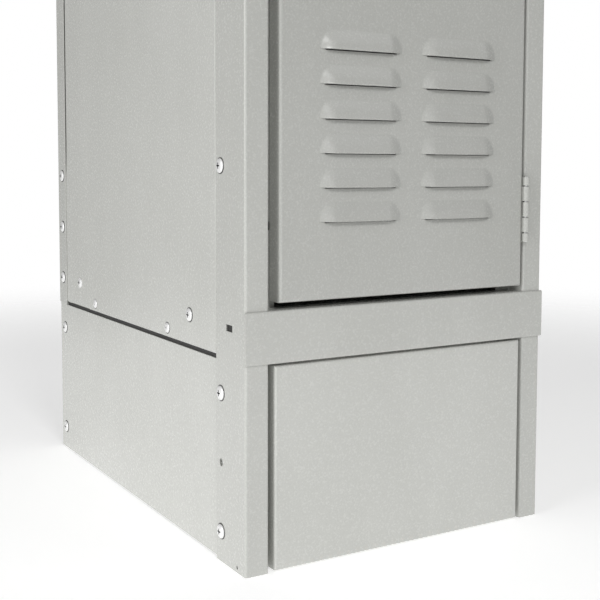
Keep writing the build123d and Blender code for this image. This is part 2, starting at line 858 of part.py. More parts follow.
export_node("door_panel", door_panel())
export_node("door_stiffener", door_stiffener())
export_node("handle_cup", handle_cup())
export_node("padlock_eye", padlock_eye())
export_node("bar_guides", *bar_guides())
export_node("number_plate", number_plate())

export_node("latch_bar", latch_bar())
export_node("lift_trigger", lift_trigger())

export_node("frame_bolts", *frame_bolts())
export_node("frame_nuts", *frame_nuts())
export_node("panel_bolts", *panel_bolts())
export_node("panel_nuts", *panel_nuts())
export_node("panel_rivets", *panel_rivets())
export_node("base_screws", *base_screws())
export_node("hook_screws", *hook_screws())
export_node("guide_rivets", *small_rivets(guide_rivets(), -door_proud, door_t + lap + 1.0))
plate_seat = -door_proud - lap - 0.8
export_node("plate_rivets", *small_rivets(plate_rivets(), plate_seat, 0.8 + lap + door_t))
export_node("trigger_rivets", *trigger_rivets())
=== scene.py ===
import json
import math

import bmesh
import bpy
from mathutils import Matrix, Vector

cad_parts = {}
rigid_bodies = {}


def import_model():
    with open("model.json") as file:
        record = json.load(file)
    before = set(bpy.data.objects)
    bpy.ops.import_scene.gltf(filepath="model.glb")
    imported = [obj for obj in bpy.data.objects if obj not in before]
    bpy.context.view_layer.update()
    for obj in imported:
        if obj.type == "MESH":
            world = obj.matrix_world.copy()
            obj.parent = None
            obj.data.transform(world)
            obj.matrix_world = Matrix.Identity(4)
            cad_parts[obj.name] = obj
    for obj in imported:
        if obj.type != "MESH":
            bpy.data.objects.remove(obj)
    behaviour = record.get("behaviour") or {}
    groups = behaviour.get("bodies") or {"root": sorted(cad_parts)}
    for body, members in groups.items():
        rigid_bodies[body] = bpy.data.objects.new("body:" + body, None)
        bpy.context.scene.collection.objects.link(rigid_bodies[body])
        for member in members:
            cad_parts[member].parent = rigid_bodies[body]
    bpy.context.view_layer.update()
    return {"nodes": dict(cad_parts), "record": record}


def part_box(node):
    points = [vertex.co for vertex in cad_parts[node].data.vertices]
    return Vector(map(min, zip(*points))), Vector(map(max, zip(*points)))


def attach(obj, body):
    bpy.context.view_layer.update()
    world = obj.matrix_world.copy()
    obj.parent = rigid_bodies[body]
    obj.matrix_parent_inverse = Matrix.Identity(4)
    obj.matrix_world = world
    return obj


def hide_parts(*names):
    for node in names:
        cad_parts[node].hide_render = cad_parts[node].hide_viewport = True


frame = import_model()

# Pieces are shaped in millimetres: X from the middle of the locker, Y back from the
# uprights' front plane, Z up from the floor.  finish_piece puts them in the frame.
MM = 0.001
front_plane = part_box("left_front_upright")[0].y


def span(node):
    """Lowest and highest corner of a CAD node, in millimetres from the front plane."""
    low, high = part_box(node)
    origin = Vector((0, front_plane, 0))
    return (low - origin) / MM, (high - origin) / MM


# ---------------------------------------------------------------- finishes
noise_low, noise_high = 0.3, 0.7      # a noise pattern lies mostly between these
enamel_plain = (0.58, 0.585, 0.56)
enamel_dark = (0.602, 0.608, 0.577)
enamel_light = (0.634, 0.640, 0.611)


def new_finish(name, colour, roughness, metallic=0.0):
    """A material with one shader, and its place on the piece."""
    finish = bpy.data.materials.new(name)
    finish.use_nodes = True
    nodes = finish.node_tree.nodes
    shader = nodes["Principled BSDF"]
    shader.inputs["Base Color"].default_value = (*colour, 1)
    shader.inputs["Roughness"].default_value = roughness
    shader.inputs["Metallic"].default_value = metallic
    place = nodes.new("ShaderNodeTexCoord").outputs["Object"]
    return finish, shader, place


def grain(finish, place, scale, detail=2.0, stretch=(1, 1, 1)):
    """A noise pattern that lies on the piece, its scale in cells a metre."""
    nodes, links = finish.node_tree.nodes, finish.node_tree.links
    mapping = nodes.new("ShaderNodeMapping")
    mapping.inputs["Scale"].default_value = stretch
    links.new(place, mapping.inputs["Vector"])
    noise = nodes.new("ShaderNodeTexNoise")
    noise.inputs["Scale"].default_value = scale
    noise.inputs["Detail"].default_value = detail
    links.new(mapping.outputs["Vector"], noise.inputs["Vector"])
    return noise.outputs["Fac"]


def shades(finish, pattern, dark, light):
    """Turn a pattern into two shades of a colour."""
    nodes, links = finish.node_tree.nodes, finish.node_tree.links
    ramp = nodes.new("ShaderNodeValToRGB")
    ramp.color_ramp.elements[0].position = noise_low
    ramp.color_ramp.elements[1].position = noise_high
    ramp.color_ramp.elements[0].color = (*dark, 1)
    ramp.color_ramp.elements[1].color = (*light, 1)
    links.new(pattern, ramp.inputs["Fac"])
    return ramp.outputs["Color"]


def multiplied(finish, one, other):
    """One colour shaded by another."""
    nodes, links = finish.node_tree.nodes, finish.node_tree.links
    mix = nodes.new("ShaderNodeMix")
    mix.data_type = "RGBA"
    mix.blend_type = "MULTIPLY"
    mix.inputs["Factor"].default_value = 1.0
    links.new(one, mix.inputs["A"])
    links.new(other, mix.inputs["B"])
    return mix.outputs["Result"]


def spread(finish, pattern, low, high):
    """A pattern scaled to lie between two values."""
    nodes, links = finish.node_tree.nodes, finish.node_tree.links
    fit = nodes.new("ShaderNodeMapRange")
    fit.inputs["From Min"].default_value = noise_low
    fit.inputs["From Max"].default_value = noise_high
    fit.inputs["To Min"].default_value = low
    fit.inputs["To Max"].default_value = high
    links.new(pattern, fit.inputs["Value"])
    return fit.outputs["Result"]


def bumps(finish, shader, patterns):
    """Stack bumps, each a pattern with its strength and its height in metres."""
    nodes, links = finish.node_tree.nodes, finish.node_tree.links
    before = None
    for pattern, strength, height in patterns:
        bump = nodes.new("ShaderNodeBump")
        bump.inputs["Strength"].default_value = strength
        bump.inputs["Distance"].default_value = height
        links.new(pattern, bump.inputs["Height"])
        if before:
            links.new(before, bump.inputs["Normal"])
        before = bump.outputs["Normal"]
    links.new(before, shader.inputs["Normal"])


def baked_enamel(name, tone):
    """Light grey enamel, lighter by a tone above 1 as painted light and darker by one below
    1 as painted shade: faint orange peel and fine flecks over sheet that is not quite flat."""
    finish, shader, place = new_finish(name, [tone * c for c in enamel_plain], 0.4)
    links = finish.node_tree.links
    cloud = grain(finish, place, 6, 3)
    drift = grain(finish, place, 26, 2, (1, 1, 0.25))
    peel = grain(finish, place, 560, 3)
    fleck = grain(finish, place, 1050, 2)
    dark = [tone * c for c in enamel_dark]
    light = [tone * c for c in enamel_light]
    drift_shade = shades(finish, drift, (0.975,) * 3, (1, 1, 1))
    peel_shade = shades(finish, peel, (0.93, 0.93, 0.925), (0.99,) * 3)
    fleck_shade = shades(finish, fleck, (0.91,) * 3, (0.985,) * 3)
    coat = shades(finish, cloud, dark, light)
    for shade in (drift_shade, peel_shade, fleck_shade):
        coat = multiplied(finish, coat, shade)
    links.new(coat, shader.inputs["Base Color"])
    links.new(spread(finish, peel, 0.23, 0.29), shader.inputs["Roughness"])
    shader.inputs["Specular IOR Level"].default_value = 0.5
    waviness = (cloud, 0.35, 0.0012)
    orange_peel = (peel, 0.22, 0.00016)
    flecks = (fleck, 0.12, 0.00006)
    bumps(finish, shader, [waviness, orange_peel, flecks])
    return finish


def zinc_plate():
    """Bright zinc with faint clouding."""
    finish, shader, place = new_finish("zinc", (0.93, 0.93, 0.93), 0.42, 0.4)
    links = finish.node_tree.links
    cloud = grain(finish, place, 500, 3)
    scratch = grain(finish, place, 1400, 2, (1, 0.2, 1))
    plate = shades(finish, cloud, (0.90, 0.90, 0.90), (0.97, 0.97, 0.96))
    links.new(plate, shader.inputs["Base Color"])
    links.new(spread(finish, scratch, 0.36, 0.5), shader.inputs["Roughness"])
    bumps(finish, shader, [(scratch, 0.15, 0.00004)])
    return finish


def recess_shade():
    """Painted shade: a dull dark colour for the inside of a recess, a slot or a joint, where shade
    falls.
    """
    finish, shader, place = new_finish("recess_shade", (0.05, 0.05, 0.05), 0.6, 0.4)
    soot = grain(finish, place, 900, 2)
    tone = shades(finish, soot, (0.035, 0.035, 0.033), (0.08, 0.08, 0.078))
    finish.node_tree.links.new(tone, shader.inputs["Base Color"])
    return finish


def brushed_stainless():
    """Stainless steel brushed across its width."""
    finish, shader, place = new_finish("stainless", (0.66, 0.65, 0.63), 0.3, 1.0)
    links = finish.node_tree.links
    brush = grain(finish, place, 900, 3, (0.04, 1, 1))
    cloud = grain(finish, place, 40, 2)
    steel = shades(finish, brush, (0.56, 0.55, 0.53), (0.72, 0.71, 0.69))
    links.new(steel, shader.inputs["Base Color"])
    links.new(spread(finish, cloud, 0.26, 0.38), shader.inputs["Roughness"])
    bumps(finish, shader, [(brush, 0.25, 0.00004)])
    return finish


def satin_aluminium():
    """Satin aluminium, with fine brushing along its length."""
    finish, shader, place = new_finish("aluminium_plate", (0.8, 0.8, 0.81), 0.35, 1.0)
    links = finish.node_tree.links
    brush = grain(finish, place, 1100, 2, (0.05, 1, 1))
    metal = shades(finish, brush, (0.74, 0.74, 0.75), (0.86, 0.86, 0.87))
    links.new(metal, shader.inputs["Base Color"])
    links.new(spread(finish, brush, 0.3, 0.42), shader.inputs["Roughness"])
    bumps(finish, shader, [(brush, 0.2, 0.00003)])
    return finish


def dull_rubber():
    """Dark rubber with a dry, slightly chalky face."""
    finish, shader, place = new_finish("bumper_rubber", (0.03, 0.03, 0.03), 0.75)
    links = finish.node_tree.links
    chalk = grain(finish, place, 350, 4)
    tone = shades(finish, chalk, (0.022, 0.022, 0.022), (0.05, 0.05, 0.048))
    links.new(tone, shader.inputs["Base Color"])
    bumps(finish, shader, [(chalk, 0.3, 0.0001)])
    return finish


finishes = {
    "grey_enamel": baked_enamel("grey_enamel", 1.0),
    # the side and base copies of the grey enamel are lighter, painted light; the door copy is
    # darker, painted shade
    "side_enamel": baked_enamel("side_enamel", 1.078),
    "door_enamel": baked_enamel("door_enamel", 0.923),
    "base_enamel": baked_enamel("base_enamel", 1.06),
    "zinc": zinc_plate(),
    "recess_shade": recess_shade(),
    "stainless": brushed_stainless(),
    "aluminium_plate": satin_aluminium(),
    "bumper_rubber": dull_rubber(),
}


# ---------------------------------------------------------------- making pieces
def finish_piece(bm, name, body, slot, nodes, ease=0.0, sharp=35, coat=None):
    """Turn a mesh in millimetres into a piece that rides on a body and stands for nodes."""
    bmesh.ops.scale(bm, vec=(MM, MM, MM), verts=bm.verts)
    bmesh.ops.translate(bm, vec=(0, front_plane, 0), verts=bm.verts)
    mesh = bpy.data.meshes.new(name)
    bm.to_mesh(mesh)
    bm.free()
    piece = bpy.data.objects.new(name, mesh)
    bpy.context.collection.objects.link(piece)
    mesh.materials.append(finishes[coat or slot])
    # faces marked 1 take the recess shade, which is painted shade
    if any(p.material_index for p in mesh.polygons):
        mesh.materials.append(finishes["recess_shade"])
    mesh.shade_smooth()
    mesh.set_sharp_from_angle(angle=math.radians(sharp))
    if ease:
        bevel = piece.modifiers.new("eased_edges", "BEVEL")
        bevel.width = ease * MM
        bevel.segments = 2
        bevel.limit_method = "ANGLE"
        bevel.angle_limit = math.radians(sharp)
    flat = piece.modifiers.new("flat_faces", "WEIGHTED_NORMAL")
    flat.keep_sharp = True
    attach(piece, body)
    if nodes:
        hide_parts(*nodes)
    return piece


def loose_object(bm):
    """A mesh as an object, for a cut."""
    mesh = bpy.data.meshes.new("blank")
    bm.to_mesh(mesh)
    bm.free()
    blank = bpy.data.objects.new("blank", mesh)
    bpy.context.collection.objects.link(blank)
    return blank


def cut_away(bm, tool, material=0, operation="DIFFERENCE"):
    """Take a tool's volume out of a mesh, or add it.

    The tool keeps its own materials, unless one is given for the faces that it cuts.
    """
    if material:
        for face in tool.faces:
            face.material_index = material
    blank = loose_object(bm)
    cutter = loose_object(tool)
    for thing in (blank, cutter):
        thing.data.materials.append(finishes["grey_enamel"])
        thing.data.materials.append(finishes["recess_shade"])
    cut = blank.modifiers.new("cut", "BOOLEAN")
    cut.operation = operation
    cut.solver = "EXACT"
    cut.object = cutter
    view = bpy.context.evaluated_depsgraph_get()
    mesh = bpy.data.meshes.new_from_object(blank.evaluated_get(view))
    result = bmesh.new()
    result.from_mesh(mesh)
    for thing in (blank, cutter):
        bpy.data.objects.remove(thing)
    bpy.data.meshes.remove(mesh)
    return result


def add_block(bm, low, high):
    """A box between two corners, and its vertices."""
    middle = [(a + b) / 2 for a, b in zip(low, high)]
    size = [b - a for a, b in zip(low, high)]
    place = Matrix.Translation(middle) @ Matrix.Diagonal((*size, 1))
    return bmesh.ops.create_cube(bm, size=1, matrix=place)["verts"]


def add_painted_shade_plate(bm, low, high):
    """A thin plate coloured as painted shade, behind an opening that shows no light."""
    for vert in add_block(bm, low, high):
        for face in vert.link_faces:
            face.material_index = 1


def add_rod(bm, middle, axis, r, length):
    """A round bar about an axis."""
    turn = Vector((0, 0, 1)).rotation_difference(Vector(axis)).to_matrix().to_4x4()
    place = Matrix.Translation(middle) @ turn
    bmesh.ops.create_cone(
        bm, cap_ends=True, segments=40, radius1=r, radius2=r, depth=length, matrix=place
    )


def turned(profile):
    """Spin a line of (radius, height) points round Z into a closed shape."""
    bm = bmesh.new()
    verts = [bm.verts.new((r, 0, z)) for r, z in profile]
    edges = [bm.edges.new(pair) for pair in zip(verts, verts[1:])]
    bmesh.ops.spin(
        bm, geom=verts + edges, cent=(0, 0, 0), axis=(0, 0, 1),
        angle=2 * math.pi, steps=28, use_merge=True,
    )
    bmesh.ops.remove_doubles(bm, verts=bm.verts, dist=0.0001)
    bmesh.ops.recalc_face_normals(bm, faces=bm.faces)
    return bm


def slice_at(bm, axis, values, faces=None):
    """Cut faces by planes square to an axis, without taking anything away."""
    normal = Vector((0, 0, 0))
    normal[axis] = 1
    for value in values:
        point = Vector((0, 0, 0))
        point[axis] = value
        if faces is None:
            geom = bm.verts[:] + bm.edges[:] + bm.faces[:]
        else:
            near = [f for f in bm.faces if faces(f.calc_center_median())]
            edges = {e for f in near for e in f.edges}
            verts = {v for f in near for v in f.verts}
            geom = near + list(edges) + list(verts)
        bmesh.ops.bisect_plane(bm, geom=geom, dist=0.0001, plane_co=point, plane_no=normal)


def bent_sheet(line, low, high, levels=()):
    """A sheet bent along (x, y, ease) points, metal on its left, stood between heights.

    ease is how far from the point the bend starts.
    """
    bm = bmesh.new()
    verts = [bm.verts.new((x, y, low)) for x, y, _ in line]
    for pair in zip(verts, verts[1:]):
        bm.edges.new(pair)
    for vert, (_, _, ease) in zip(verts, line):
        if ease:
            bmesh.ops.bevel(
                bm, geom=[vert], offset=ease, segments=6, profile=0.5,
                affect="VERTICES", material=-1,
            )
    rise = bmesh.ops.extrude_edge_only(bm, edges=bm.edges[:])
    up = [v for v in rise["geom"] if isinstance(v, bmesh.types.BMVert)]
    bmesh.ops.translate(bm, vec=(0, 0, high - low), verts=up)
    slice_at(bm, 2, levels)
    bmesh.ops.recalc_face_normals(bm, faces=bm.faces)
    along = Vector((line[1][0] - line[0][0], line[1][1] - line[0][1], 0)).normalized()
    outside = Vector((along.y, -along.x, 0))
    start = Vector((line[0][0], line[0][1], low))
    first = min(bm.faces, key=lambda f: min((v.co - start).length for v in f.verts))
    first.normal_update()
    if first.normal.dot(outside) < 0:
        bmesh.ops.reverse_faces(bm, faces=bm.faces)
    return bm


def thicken(bm, t):
    """Give a sheet its thickness, away from its outer face."""
    bm.normal_update()
    bmesh.ops.solidify(bm, geom=bm.faces[:], thickness=t)
    return bm


def mirror_piece(bm):
    """The same mesh for the locker's other side."""
    other = bm.copy()
    bmesh.ops.scale(other, vec=(-1, 1, 1), verts=other.verts)
    bmesh.ops.reverse_faces(other, faces=other.faces)
    return other


def islands(node):
    """Corners of each loose part of a CAD node, in millimetres from the front plane."""
    bm = bmesh.new()
    bm.from_mesh(frame["nodes"][node].data)
    bmesh.ops.remove_doubles(bm, verts=bm.verts, dist=0.00001)
    seen = set()
    boxes = []
    origin = Vector((0, front_plane, 0))
    for start in bm.verts:
        if start in seen:
            continue
        seen.add(start)
        queue = [start]
        part = []
        while queue:
            vert = queue.pop()
            part.append((vert.co - origin) / MM)
            for edge in vert.link_edges:
                other = edge.other_vert(vert)
                if other not in seen:
                    seen.add(other)
                    queue.append(other)
        low = Vector([min(p[i] for p in part) for i in range(3)])
        high = Vector([max(p[i] for p in part) for i in range(3)])
        boxes.append((low, high))
    bm.free()
    return boxes


knuckle_joints = (-29.4, -21.0, -7.0, 7.0, 21.0, 29.4)     # from a hinge's middle
knuckle_gap = 1.0


def part_knuckles(bm, node):
    """Open the joints between a hinge's knuckles, their cut ends coloured as painted shade."""
    low, high = span("hinge_pin_" + node.split("_")[-1])
    middle = (low + high) / 2
    front = Vector((-5, -5, -knuckle_gap / 2))
    rear = Vector((5, 2.6, knuckle_gap / 2))      # stops short of the leaves
    tool = bmesh.new()
    for step in knuckle_joints:
        joint = middle + Vector((0, 0, step))
        add_block(tool, joint + front, joint + rear)
    # the cut ends take the recess shade: painted shade
    return cut_away(bm, tool, 1)


def softened(node, body, slot, ease):
    """A CAD node's own shape, its facets joined into flats and its edges eased."""
    bm = bmesh.new()
    bm.from_mesh(frame["nodes"][node].data)
    bmesh.ops.remove_doubles(bm, verts=bm.verts, dist=0.00001)
    flat = math.radians(0.5)
    bmesh.ops.dissolve_limit(bm, angle_limit=flat, verts=bm.verts, edges=bm.edges)
    bmesh.ops.translate(bm, vec=(0, -front_plane, 0), verts=bm.verts)
    bmesh.ops.scale(bm, vec=(1 / MM,) * 3, verts=bm.verts)
    if "leaf" in node:
        bm = part_knuckles(bm, node)
    return finish_piece(bm, node + "_piece", body, slot, [node], ease, 40)


# ---------------------------------------------------------------- sizes of the sheets
half = -span("left_front_upright")[0].x
back = span("back_panel")[1].y
height = span("left_front_upright")[1].z
face_w = 21.0
flange_w = 50.8
jamb_w = 18.5
strike_w = 15.0
bend = 2.1
sheet = 1.5
lap = 0.1
side_sheet = 0.8
back_sheet_t = 0.9
back_flange = 25.4
near = 0.01                   # two places this close are the same one

# openings of the front uprights' flanges, as depth behind the front plane and height
spare_hole = (42.3, 82.55)
spare_hole_r = 3.2
drain_hole = (14.5, 4.2)
drain_hole_r = 1.5
window_low = (22.0, 191.6)
window_high = (33.2, 197.0)


# ---------------------------------------------------------------- frame
across = (1, 0, 0)
cut_length = 12               # of a tool that cuts through a side


def front_upright():
    """Flange, face, jamb and strike of the left upright, with the holes of its flange."""
    x = -half
    line = [
        (x, flange_w, 0),
        (x, 0, bend),
        (x + face_w, 0, bend),
        (x + face_w, jamb_w, 1.5),
        (x + face_w + strike_w, jamb_w, 0),
    ]
    bm = thicken(bent_sheet(line, 0, height), sheet)
    holes = bmesh.new()
    add_rod(holes, (x, *spare_hole), across, spare_hole_r, cut_length)
    add_rod(holes, (x, *drain_hole), across, drain_hole_r, cut_length)
    add_block(holes, (x - cut_length / 2, *window_low), (x + cut_length / 2, *window_high))
    bm = cut_away(bm, holes)
    # painted shade: a dark plate behind the flange's window, so it shows no light
    inside = x + sheet
    add_painted_shade_plate(bm, (inside + 0.05, 20.5, 189.5), (inside + 0.9, 36, 199.5))
    return bm


upright = front_upright()
finish_piece(
    mirror_piece(upright), "right_upright_sheet", "frame", "grey_enamel",
    ["right_front_upright"], 0.25,
)
finish_piece(upright, "left_upright_sheet", "frame", "grey_enamel", ["left_front_upright"], 0.25)


def cross_member(node, name):
    """Face across both uprights with its two flanges turned back between the jambs."""
    low, high = span(node)
    t = 1.9
    r = 1.6
    inner = face_w + 0.6
    notch = inner + 0.75
    bm = bmesh.new()
    line = [(high.y, low.z), (low.y, low.z), (low.y, high.z), (high.y, high.z)]
    verts = [bm.verts.new((low.x, y, z)) for y, z in line]
    for pair in zip(verts, verts[1:]):
        bm.edges.new(pair)
    for vert in verts[1:-1]:
        bmesh.ops.bevel(
            bm, geom=[vert], offset=r, segments=5, profile=0.5, affect="VERTICES", material=-1
        )
    made = bmesh.ops.extrude_edge_only(bm, edges=bm.edges[:])
    moved = [v for v in made["geom"] if isinstance(v, bmesh.types.BMVert)]
    bmesh.ops.translate(bm, vec=(high.x - low.x, 0, 0), verts=moved)
    slice_at(bm, 0, (low.x + notch, high.x - notch))
    slice_at(bm, 1, (low.y + r,))
    ends = []
    for face in bm.faces:
        middle = face.calc_center_median()
        if middle.y > low.y + r and abs(middle.x) > half - inner:
            ends.append(face)
    bmesh.ops.delete(bm, geom=ends, context="FACES")
    bmesh.ops.recalc_face_normals(bm, faces=bm.faces)
    face = min(bm.faces, key=lambda f: f.calc_center_median().y)
    if face.normal.y > 0:
        bmesh.ops.reverse_faces(bm, faces=bm.faces)
    return finish_piece(thicken(bm, t), name, "frame", "grey_enamel", [node], 0.3)


cross_member("bottom_cross_member", "bottom_member")
cross_member("top_cross_member", "top_member")


def side_panel():
    """Left side panel, tucked under both flanges, its rear edge pressed out at the foot."""
    low, high = span("left_side_panel")
    face_x = -half + 0.2
    front_x = -half + sheet + lap
    rear_x = -half + 2.0
    rear_y = back - back_flange
    line = [
        (rear_x, rear_y + 22.0, 0),
        (rear_x, rear_y - 1.2, 1.2),
        (face_x, rear_y - 4.8, 1.2),
        (face_x, flange_w + 1.8, 0.5),
        (front_x, flange_w + 0.3, 0.5),
        (front_x, flange_w - 21.0, 0),
    ]
    foot = 324.0
    pressed = 1.05
    levels = [foot + step for step in (-60, -20, -8, 0, 8, 20)]
    bm = bent_sheet(line, low.z, high.z, levels)
    for vert in bm.verts:
        reach = min(1, max(0, (vert.co.y - back + back_flange + 8) / 8))
        rise = min(1, max(0, (foot + 14 - vert.co.z) / 30))
        vert.co.x -= pressed * reach * rise
    # clear of the painted shade plate behind the upright's window
    clear = bmesh.new()
    add_block(clear, (-half + 0.5, 20, 187), (-half + 4, 37, 202))
    return cut_away(thicken(bm, side_sheet), clear)


left_side = side_panel()
# the side sheets take the lighter enamel copy: painted light
finish_piece(
    mirror_piece(left_side), "right_side_sheet", "frame", "grey_enamel", ["right_side_panel"], 0.15,
    coat="side_enamel",
)
finish_piece(
    left_side, "left_side_sheet", "frame", "grey_enamel", ["left_side_panel"], 0.15,
    coat="side_enamel",
)


def back_sheet():
    """Back panel with the strips that wrap the sides."""
    low, high = span("back_panel")
    line = [
        (half, low.y, 0),
        (half, back, 1.9),
        (-half, back, 1.9),
        (-half, low.y, 0),
    ]
    bm = thicken(bent_sheet(line, low.z, high.z), back_sheet_t)
    return finish_piece(bm, "back_sheet", "frame", "grey_enamel", ["back_panel"], 0.15)


back_sheet()


def end_base():
    """Closed end of the base with its inner shelf and, under the side panel, a slot with a plate of
    painted shade inside it.
    """
    low, high = span("left_end_base")
    t = 1.2
    slot = 1.9
    shelf_top = high.z - 6.5
    bm = bmesh.new()
    add_block(bm, (low.x, low.y, low.z), (low.x + t, high.y, high.z))
    shelf = bmesh.new()
    shelf_low = (low.x + 0.2, flange_w + 2, shelf_top - t)
    add_block(shelf, shelf_low, (high.x, back - 40, shelf_top))
    bm = cut_away(bm, shelf, 0, "UNION")
    holes = bmesh.new()
    add_rod(holes, (-half, *spare_hole), across, spare_hole_r, cut_length)
    slot_low = (low.x - 1, flange_w - 3, high.z - slot)
    add_block(holes, slot_low, (low.x + 4, back - 20, high.z + 1))
    bm = cut_away(bm, holes)
    # painted shade: a dark plate inside the slot, so it shows no light
    inner = low.x + t + 0.05
    shade_plate_low = (inner, flange_w - 5, high.z - 6)
    add_painted_shade_plate(bm, shade_plate_low, (inner + 0.5, back - 22, high.z + 1.5))
    return bm


left_base = end_base()
# the base ends take the lighter enamel copy: painted light
finish_piece(
    mirror_piece(left_base), "right_base_end", "frame", "grey_enamel", ["right_end_base"], 0.25,
    coat="side_enamel",
)
finish_piece(
    left_base, "left_base_end", "frame", "grey_enamel", ["left_end_base"], 0.25,
    coat="side_enamel",
)


def rear_leg():
    """Angle in the rear corner, from the floor."""
    low, high = span("left_rear_leg")
    t = 2.0
    line = [(high.x, high.y, 0), (low.x, high.y, 2.6), (low.x, low.y, 0)]
    return thicken(bent_sheet(line, low.z, high.z), t)


left_leg = rear_leg()
finish_piece(mirror_piece(left_leg), "right_leg", "frame", "grey_enamel", ["right_rear_leg"], 0.3)
finish_piece(left_leg, "left_leg", "frame", "grey_enamel", ["left_rear_leg"], 0.3)


def pan(low, high, r):
    """Flat front of a shallow pan, short of its edges by the radius they turn back with."""
    bm = bmesh.new()
    flat = Matrix.Rotation(math.radians(90), 4, "X")
    bmesh.ops.create_grid(bm, x_segments=1, y_segments=1, size=0.5, matrix=flat)
    size = (high.x - low.x - 2 * r, 1, high.z - low.z - 2 * r)
    bmesh.ops.scale(bm, vec=size, verts=bm.verts)
    middle = ((low.x + high.x) / 2, low.y, (low.z + high.z) / 2)
    bmesh.ops.translate(bm, vec=middle, verts=bm.verts)
    bm.normal_update()
    bm.faces.ensure_lookup_table()
    if bm.faces[0].normal.y > 0:
        bmesh.ops.reverse_faces(bm, faces=bm.faces)
    return bm


def turn_back(bm, low, high, r, depth):
    """Turn a pan's edges back: a quarter round, then straight to its depth."""
    def edge_ring():
        """Edges along the pan's outer border, leaving slits and holes alone."""
        ring = []
        for edge in bm.edges:
            if len(edge.link_faces) != 1:
                continue
            a, b = (v.co for v in edge.verts)
            for axis in (0, 2):
                for side in (low[axis], high[axis]):
                    if max(abs(a[axis] - side), abs(b[axis] - side)) < r + near:
                        ring.append(edge)
        return list(set(ring))

    ring = edge_ring()
    off = 0.0
    deep = 0.0
    steps = 6
    turns = [math.radians(90) * k / steps for k in range(1, steps + 1)]
    stages = [(r * math.sin(a), r * (1 - math.cos(a))) for a in turns] + [(r, depth)]
    borders = (low.x + r, high.x - r, low.z + r, high.z - r)
    for out, in_ in stages:
        made = bmesh.ops.extrude_edge_only(bm, edges=ring)
        verts = [v for v in made["geom"] if isinstance(v, bmesh.types.BMVert)]
        ring = [e for e in made["geom"] if isinstance(e, bmesh.types.BMEdge)]
        ring = [e for e in ring if len(e.link_faces) == 1 and all(v in verts for v in e.verts)]
        for vert in verts:
            if abs(vert.co.x - (borders[0] - off)) < near:
                vert.co.x -= out - off
            if abs(vert.co.x - (borders[1] + off)) < near:
                vert.co.x += out - off
            if abs(vert.co.z - (borders[2] - off)) < near:
                vert.co.z -= out - off
            if abs(vert.co.z - (borders[3] + off)) < near:
                vert.co.z += out - off
            vert.co.y += in_ - deep
        off = out
        deep = in_
    bm.normal_update()
    return bm


def base_front():
    """Front base panel: a shallow pan with a lip down each side."""
    low, high = span("front_base_panel")
    t = 1.2
    r = 2.0
    side_back = 10.0
    lip_w = 12.0
    lip_short = 3
    bm = pan(low, high, r)
    turn_back(bm, low, high, r, side_back - low.y)
    upright = []
    for edge in bm.edges:
        a, b = (v.co for v in edge.verts)
        if len(edge.link_faces) == 1 and abs(a.x - b.x) < near:
            upright.append(edge)
    made = bmesh.ops.extrude_edge_only(bm, edges=upright)
    verts = [v for v in made["geom"] if isinstance(v, bmesh.types.BMVert)]
    middle_z = (low.z + high.z) / 2
    for vert in verts:
        vert.co.y = high.y
        vert.co.z += lip_short if vert.co.z < middle_z else -lip_short
    sides = [e for e in made["geom"] if isinstance(e, bmesh.types.BMEdge)]
    sides = [e for e in sides if all(v in verts for v in e.verts)]
    made = bmesh.ops.extrude_edge_only(bm, edges=sides)
    for vert in [v for v in made["geom"] if isinstance(v, bmesh.types.BMVert)]:
        vert.co.x += lip_w if vert.co.x < 0 else -lip_w
    bm.normal_update()
    # the base front takes the lighter enamel copy: painted light
    return finish_piece(
        thicken(bm, t), "base_front_sheet", "frame", "grey_enamel", ["front_base_panel"], 0.2,
        coat="base_enamel",
    )


base_front()


# ---------------------------------------------------------------- door
door_low, door_high = span("door_panel")
door_front = -0.6
door_bend = 2.4
louvre_wide = 80.0
louvre_tall = 16.0
louvre_rise = 5.0
louvre_cheek = 14.0           # how far the slope at each end reaches in
louvre_swell = 1.5            # above 1 flattens the hood towards its lip
louvre_fade = 1.15            # above 1 softens its meeting with the door
louvre_pitch = 27.45
louvre_apart = 100.3
louvre_right = 0.7            # of the door's middle
louvre_edge = 63.0
louvre_rows = 6
slit_wide = 69.0
slit_open = 0.9
lip_flare = 0.4               # how far the lip's edge stands forward
lip_tall = 1.5
finger_heights = (501.0, 1076.0, 1701.0)
slot_half = 11.5              # of the slots that the latch's fingers pass through


def louvre_places():
    """Middle and slit height of every louvre: two columns, at the foot and at the head."""
    middle = (door_low.x + door_high.x) / 2 + louvre_right
    places = []
    for side in (-0.5, 0.5):
        for row in range(louvre_rows):
            step = row * louvre_pitch
            places.append((middle + side * louvre_apart, door_low.z + louvre_edge + step))
            top = door_high.z - louvre_edge - louvre_tall - step
            places.append((middle + side * louvre_apart, top))
    return places


def hood_rise(x, z):
    """How far a hood stands out at a place on it, x from its middle and z above its slit."""
    along = max(0, abs(x) - (louvre_wide / 2 - louvre_cheek)) / louvre_cheek
    up = max(0, z / louvre_tall)
    out = min(1, math.hypot(along, up))
    flare = lip_flare * max(0, 1 - z / lip_tall) * max(0, 1 - along ** 2)
    return (louvre_rise - lip_flare) * (1 - out ** louvre_swell) ** louvre_fade + flare


